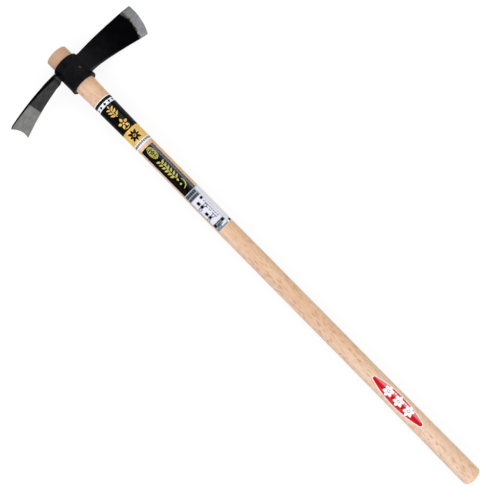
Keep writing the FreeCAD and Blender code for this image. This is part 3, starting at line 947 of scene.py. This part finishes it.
def ellipse(x, s, half_x, half_s, sides=28):
    turns = [2 * pi * i / sides for i in range(sides)]
    return [[(x + half_x * cos(t), s + half_s * sin(t)) for t in turns]]


def ring(x, s, half_x, half_s, width, sides=32):
    outer = ellipse(x, s, half_x, half_s, sides)[0]
    inner = ellipse(x, s, half_x - width, half_s - width, sides)[0]
    corners = zip(outer, outer[1:] + outer[:1], inner[1:] + inner[:1], inner)
    return [list(corner) for corner in corners]


def leaf(x, s, heading, length, width, bend=0.0):
    """A pointed leaf from its stalk end; heading in degrees, 180 towards the head of the tool."""
    turn = radians(heading)
    steps = 9
    left, right = [], []
    for i in range(steps + 1):
        t = i / steps
        along, side = length * t, bend * length * sin(pi * t)
        half = width / 2 * sin(pi * t**0.8) ** 0.9 if 0 < i < steps else 0.0
        for line, sign in ((left, 1), (right, -1)):
            off = side + sign * half
            dx = along * cos(turn) - off * sin(turn)
            ds = along * sin(turn) + off * cos(turn)
            line.append((x + dx, s + ds))
    return [left + right[-2:0:-1]]


def stroke(points, width, taper=0.35, steps=26):
    """A brush line through the points, thinner at its ends."""
    at = [i / (len(points) - 1) for i in range(len(points))]
    line_x, line_s = (smooth_through(zip(at, values)) for values in zip(*points))
    sides = []
    for i in range(steps + 1):
        t = i / steps
        before, after = max(t - 0.01, 0), min(t + 0.01, 1)
        dx, ds = line_x(after) - line_x(before), line_s(after) - line_s(before)
        size = hypot(dx, ds)
        half = width / 2 * (taper + (1 - taper) * sin(pi * t) ** 0.6)
        nx, ns = -ds / size * half, dx / size * half
        sides.append(((line_x(t) + nx, line_s(t) + ns), (line_x(t) - nx, line_s(t) - ns)))
    return [[a[0], b[0], b[1], a[1]] for a, b in zip(sides, sides[1:])]


def blossom(x, s, petals, inner, length, width, first=0.0):
    shapes = []
    for i in range(petals):
        heading = first + 360 * i / petals
        turn = radians(heading)
        shapes += leaf(x + inner * cos(turn), s + inner * sin(turn), heading, length, width)
    return shapes


def printed(name, shapes, level, material, start=0.0):
    """Ink of that level on a sticker: thin slabs that follow the handle's surface.

    The outlines' x is 0 at start, a place along the handle.
    """
    bm = bmesh.new()
    for outline in shapes:
        bm.faces.new([bm.verts.new((start + x * MM, s * MM, 0)) for x, s in outline])
    bmesh.ops.remove_doubles(bm, verts=bm.verts, dist=1e-6)
    bmesh.ops.triangulate(bm, faces=[f for f in bm.faces if len(f.verts) > 4])
    for axis, step in ((1, STRIP), (0, 5 * MM)):
        low = min(v.co[axis] for v in bm.verts)
        high = max(v.co[axis] for v in bm.verts)
        for k in range(ceil(low / step), floor(high / step) + 1):
            cut, normal = [0, 0, 0], [0, 0, 0]
            cut[axis], normal[axis] = k * step, 1
            everything = bm.verts[:] + bm.edges[:] + bm.faces[:]
            bmesh.ops.bisect_plane(bm, geom=everything, plane_co=cut, plane_no=normal, dist=1e-7)
    grown = bmesh.ops.extrude_face_region(bm, geom=bm.faces[:], use_keep_orig=True)
    upper = {v for v in grown["geom"] if isinstance(v, bmesh.types.BMVert)}
    top, bottom = FILM + level * INK, FILM - 0.5 * INK
    for v in bm.verts:
        v.co = on_handle(v.co.x, v.co.y, top if v in upper else bottom)
    make_piece(name, bm, [material], None)


def film_sheet(xs, edges, material_at=lambda x: 0):
    """A film slab with a section at each x; edges(x) gives its first and last place round the handle."""
    first, last = edges(xs[len(xs) // 2])
    count = max(8, ceil((last - first) / STRIP))
    over = [(c / count, FILM) for c in range(count + 1)]
    under = [(share, -FILM_SUNK) for share, _ in reversed(over)]
    bm = solid(xs, over + under, lambda x, shape: on_handle(x, mix(*edges(x), shape[0]), shape[1]))
    bm.faces.ensure_lookup_table()
    for r, x in enumerate(xs[:-1]):
        for c in range(count):
            bm.faces[r * 2 * (count + 1) + c].material_index = material_at(mix(x, xs[r + 1], 0.5))
    return bm


def evenly(marks, step=4 * MM):
    """Places from the first mark to the last, all marks among them, at most step apart."""
    places = [marks[0]]
    for a, b in zip(marks, marks[1:]):
        count = max(1, ceil((b - a) / step))
        places += [mix(a, b, i / count) for i in range(1, count + 1)]
    return places


def angles_to_edges(angles):
    return lambda x: tuple(radians(a) * handle_radius(x) for a in angles)


def label_x(node):
    low, high = tool_box(node)
    return low.x, high.x


# ---- Sticker 1: a full wrap with a black field and a gold panel ----
def band_label():
    first, last = label_x("label_band")
    marks = [first] + [first + gap * MM for gap in (1.25, 6, 12.4, 61.1, 85)] + [last]
    materials = [WHITE_FILM, NAVY_INK, BLACK_INK, GOLD_INK]
    inks = [0, 1, 0, 2, 3, 0]

    def material_at(x):
        return inks[sum(x > m for m in marks[1:-1])]

    # The wrap goes all round, and its two ends meet under the handle
    edges = angles_to_edges((-180, 180))
    bm = film_sheet(evenly(marks), edges, material_at)
    bmesh.ops.remove_doubles(bm, verts=bm.verts, dist=1e-6)
    make_piece("band_film", bm, materials, "label_band")

    sprig = stroke([(36, 0.6), (30, -0.5), (24, 0.6), (19, 0)], 1.5)
    for x, length in ((33.5, 8.2), (28, 7.8), (22.6, 6.8)):
        for side in (1, -1):
            sprig += leaf(x, side * 1.2, 180 - side * 52, length, 3.0, 0.08 * side)
    sprig += leaf(18.4, 0, 180, 4.6, 2.6)
    flower = blossom(49.2, 0, 5, 2.6, 6.6, 4.4, 36) + ellipse(49.2, 0, 1.7, 1.7)
    flower += stroke([(57.5, 4.5), (58.5, 0), (57.5, -4.5)], 1.2)
    printed("band_gold_sprig", sprig, 1, GOLD_INK, first)
    printed("band_gold_blossom", flower, 1, GOLD_INK, first)
    star = blossom(73.5, -1, 4, 1.8, 9.0, 4.4, 45) + blossom(73.5, -1, 4, 2.0, 7.6, 3.4, 0)
    star += ellipse(73.5, -1, 1.3, 1.3)
    printed("band_black_star", star, 1, BLACK_INK, first)
    dots = []
    for i in range(11):
        s = -42 + 8.4 * i
        dots += blossom(9.2, s, 4, 0.0, 2.7, 2.0, 0) + ellipse(9.2, s, 1.2, 1.2, 12)
    for i in range(25):
        s = -42 + 3.5 * i
        dots += bar(86.2, 90.4, s, s + 1.4) + bar(87.2, 89.4, s + 2.0, s + 3.0)
    printed("band_dashes", dots, 1, NAVY_INK, first)


def plain_sticker(kind, angles, film):
    """A sticker in one film between two angles round the handle. Returns its start and its length in mm."""
    first, last = label_x("label_" + kind)
    bm = film_sheet(evenly([first, last]), angles_to_edges(angles))
    make_piece(kind + "_film", bm, [film], "label_" + kind)
    return first, (last - first) / MM


# ---- Sticker 2: black with an oval and a vine ----
def name_label():
    first, end = plain_sticker("name", NAME_ANGLES, BLACK_INK)
    stripes = bar(0.6, end - 0.6, 6.7, 7.1) + bar(0.6, end - 0.6, 9.7, 10.1)
    printed("name_fine_stripes", stripes, 1, SILVER_INK, first)
    printed("name_silver_stripe", bar(0.6, end - 0.6, 7.8, 8.9), 1, STEEL_BLUE_INK, first)
    x = 12.4
    printed("name_gold_oval", ellipse(x, -0.4, 11.0, 6.0, 44), 1, OLIVE_INK, first)
    seeds = ring(x, -0.4, 9.7, 4.9, 0.5, 44)
    seeds += blossom(x, -0.4, 5, 0.9, 3.2, 2.4, 90) + ellipse(x, -0.4, 0.7, 0.7, 12)
    for side in (1, -1):
        seeds += leaf(x + side * 4.0, -0.4, 90 - side * 90, 4.6, 1.9)
        seeds += leaf(x + side * 4.2, 0.8, 90 - side * 52, 3.4, 1.6)
        seeds += leaf(x + side * 4.2, -1.6, side * 52 - 90, 3.4, 1.6)
    printed("name_oval_seeds", seeds, 2, BLACK_INK, first)
    start, middle = 28, -1.4
    stem = [(start, middle - 1), (start + 12, middle + 1), (start + 24, middle - 1), (start + 36, middle)]
    vine = stroke(stem, 1.3)
    for i in range(6):
        x = start + 5 + 6.0 * i
        for side in (1, -1):
            vine += leaf(x + 1.5 * side, middle + side * 1.0, 180 - side * 50, 7.0, 3.3, 0.1 * side)
    vine += leaf(start + 37, middle, 0, 5.4, 3.0)
    vine += stroke([(start + 41, 3.8), (start + 47, 4.6), (start + 53, 2.2), (start + 56, -3.6)], 1.8)
    vine += ellipse(start + 47.5, -2.4, 1.7, 1.7, 16)
    printed("name_gold_vine", vine, 1, OLIVE_INK, first)


# ---- Sticker 3: silver header and footer about a white panel, with a pale strip beside them ----
def notice_label():
    first, end = plain_sticker("notice", NOTICE_ANGLES, PALE_FILM)
    silver = bar(0.3, 13.4, -14.9, 7.9) + bar(end - 13.4, end - 7.6, -14.9, 7.9)
    silver += bar(end - 7.6, end - 3.2, -14.9, -2.2) + bar(end - 3.2, end - 0.5, -14.9, 7.9)
    printed("notice_silver_fields", silver, 1, SILVER_INK, first)
    pale = bar(14.2, end - 14.2, -13.4, 7.0) + bar(end - 7.4, end - 3.4, -2.0, 7.4)
    printed("notice_white_panel", pale, 1, PANEL_INK, first)
    edge_lines = bar(0.3, end - 0.4, 8.0, 8.4) + bar(13.5, end - 13.5, -15.2, -14.2)
    printed("notice_edge_line", edge_lines, 1, STEEL_BLUE_INK, first)
    dark = []
    for i in range(6):
        for along, stop in ((1.5, 6.8), (8.3, 12.8)):
            dark += bar(along, stop, -14.4 + 3.5 * i, -11.3 + 3.5 * i)
    dark += bar(end - 1.7, end - 0.8, -14.4, 7.4)
    printed("notice_header_blocks", dark, 2, SLATE_INK, first)
    blocks = bar(end - 13.0, end - 7.8, -13.9, -8.2) + bar(end - 13.0, end - 7.8, 2.2, 7.4)
    blocks += bar(end - 5.6, end - 1.0, 12.2, 17.4)
    blocks += ellipse(18.2, 4.8, 2.5, 2.5, 16)
    lines = []
    for along, across in ((22.6, -4.8), (42.2, -7.2)):
        blocks += bar(along - 3.0, along + 2.8, across - 2.4, across + 2.4)
        blocks += bar(along + 4.4, along + 9.4, across - 2.0, across + 2.8)
        for side in (-5.2, 6.0):
            lines += hollow_square(along + 8.0, across + side, 2.1, 1.0)
    printed("notice_black_blocks", blocks, 2, BLACK_INK, first)
    for i in range(8):
        lines += bar(23 + 4.2 * i, 25.8 + 4.2 * i, 3.8, 5.2)
    for i in range(4):
        lines += bar(32 + 6.6 * i, 35.8 + 6.6 * i, 0.4, 1.6)
    for i in range(3):
        lines += bar(end - 12.4 + 2.6 * i, end - 10.8 + 2.6 * i, -7.4, 1.6)
    lines += hollow_square(end - 5.4, -11.4, 2.2, 0.8) + hollow_square(end - 5.4, -5.6, 2.2, 0.8)
    printed("notice_grey_rules", lines, 2, SLATE_INK, first)


# ---- Sticker 4: a red pointed oval with a white border and three white blossoms ----
def oval_half(x, first, last, inset=0.0):
    """Half the width of the oval at x: two long arcs that run smoothly into small round ends."""
    wide, tip = OVAL_HALF_WIDTH, OVAL_END_RADIUS
    reach = (last - first) / 2 - tip
    side = (reach**2 + wide**2 - tip**2) / (2 * (wide - tip))
    off = abs(x - (first + last) / 2)
    if off < reach * side / (side - tip):
        return sqrt((side - inset) ** 2 - off**2) - (side - wide)
    return sqrt(max((tip - inset) ** 2 - (off - reach) ** 2, 0.0))


def oval_label():
    first, last = label_x("label_oval")

    def tapered(inset):
        """Places along the oval, closer together at its round ends."""
        near = [inset + OVAL_END_RADIUS * share for share in (0.02, 0.12, 0.3, 0.6, 1.0)]
        marks = [first + gap for gap in near] + [last - gap for gap in reversed(near)]
        return evenly(marks, 2 * MM)

    def edges(x, inset=0.0):
        angle = asin(min(oval_half(x, first, last, inset) / handle_radius(x), 1.0))
        return -angle * handle_radius(x), angle * handle_radius(x)

    bm = film_sheet(tapered(0.0), edges)
    make_piece("oval_film", bm, [WHITE_FILM], "label_oval")
    upper = [(x / MM, edges(x, OVAL_BORDER)[1] / MM) for x in tapered(OVAL_BORDER)]
    strips = []
    for a, b in zip(upper, upper[1:]):
        strips.append([(a[0], -a[1]), (b[0], -b[1]), b, a])
    printed("oval_red_field", strips, 1, RED_INK)
    middle = (first + last) / 2 / MM
    flowers = []
    for step in (-20.4, 1.2, 22.4):
        flowers += blossom(middle + step, 1.2, 6, 1.9, 7.8, 5.6, 30)
        flowers += ellipse(middle + step, 1.2, 1.5, 1.5, 16)
    for step in (-9.6, 11.8):
        flowers += ellipse(middle + step, 6.0, 1.3, 1.3, 12)
    printed("oval_white_blossoms", flowers, 2, WHITE_INK)


# ---- The studio ----
CAMERA_OVER = (0.3769, 0.00167, 1.245)
CAMERA_TURN = radians(45.42)
LENS, SENSOR = 59.04, 36.0
FLOOR_GLOW = 0.85
FLOOR_TONE = (0.16, 0.16, 0.16)
FLOOR_HALF_SIDE = 14
SKY_LIGHT, SKY_SEEN = 0.36, 1.0
# Name, where it stands in the tool's frame, strength, width in degrees
LAMPS = (
    ("key", (0.35, -1.0, 0.55), 1.75, 60),
    ("strip", (0.1, 1.0, 1.3), 1.5, 50),
    ("butt_side", (1.0, 0.15, 0.7), 0.66, 50),
    ("head_side", (-1.0, -0.1, 0.8), 0.3, 50),
)


def studio_floor():
    """A plain pale floor that glows, so that it is seen nearly white; it gives no diffuse light."""
    bm = bmesh.new()
    bmesh.ops.create_grid(bm, x_segments=1, y_segments=1, size=FLOOR_HALF_SIDE)
    mesh = mesh_from("studio_floor", bm)
    look = Look("studio_floor")
    tone = look.blend(look.noise(3), FLOOR_TONE, tuple(1.05 * c for c in FLOOR_TONE))
    glow = dict(Emission_Color=(1.0, 1.0, 1.0, 1.0), Emission_Strength=FLOOR_GLOW)
    mesh.materials.append(look.set(Base_Color=tone, Roughness=0.9, Specular_IOR_Level=0.0, **glow))
    obj = add_object("studio_floor", mesh)
    obj.visible_diffuse = False


def sun(name, towards, strength, width):
    """A soft distant lamp; towards is where it stands, in the tool's frame."""
    light = bpy.data.lights.new(name, "SUN")
    light.energy = strength
    light.angle = radians(width)
    obj = add_object(name, light)
    direction = (TOOL.to_3x3() @ Vector(towards)).normalized()
    obj.rotation_mode = "QUATERNION"
    obj.rotation_quaternion = direction.to_track_quat("Z", "Y")


def sky(ambient, backdrop):
    """Dim even light from all round; what the camera sees past the floor is as pale as the floor."""
    world = bpy.data.worlds.new("studio")
    world.use_nodes = True
    nodes, links = world.node_tree.nodes, world.node_tree.links
    nodes.clear()
    choose, out = nodes.new("ShaderNodeMixShader"), nodes.new("ShaderNodeOutputWorld")
    seen = nodes.new("ShaderNodeLightPath").outputs["Is Camera Ray"]
    links.new(seen, choose.inputs[0])
    for k, tone in ((1, (ambient, ambient, ambient * 1.03, 1)), (2, (backdrop, backdrop, backdrop, 1))):
        light = nodes.new("ShaderNodeBackground")
        light.inputs["Color"].default_value = tone
        links.new(light.outputs[0], choose.inputs[k])
    links.new(choose.outputs[0], out.inputs["Surface"])
    bpy.context.scene.world = world


def camera():
    data = bpy.data.cameras.new("camera")
    data.lens, data.sensor_width = LENS, SENSOR
    data.clip_start, data.clip_end = 0.01, 60
    obj = add_object("camera", data)
    right = Vector((cos(CAMERA_TURN), sin(CAMERA_TURN), 0))
    up = Vector((-right.y, right.x, 0))
    local = Matrix((right, up, (0, 0, 1))).transposed().to_4x4()
    local.translation = CAMERA_OVER
    obj.matrix_world = TOOL @ local
    bpy.context.scene.camera = obj


def studio():
    studio_floor()
    sky(SKY_LIGHT, SKY_SEEN)
    for lamp in LAMPS:
        sun(*lamp)
    camera()
    bpy.context.scene.view_settings.view_transform = "Standard"


def main():
    handle_piece()
    collar_piece()
    axe_pieces()
    adze_pieces()
    nail_piece()
    band_label()
    name_label()
    notice_label()
    oval_label()
    studio()


main()
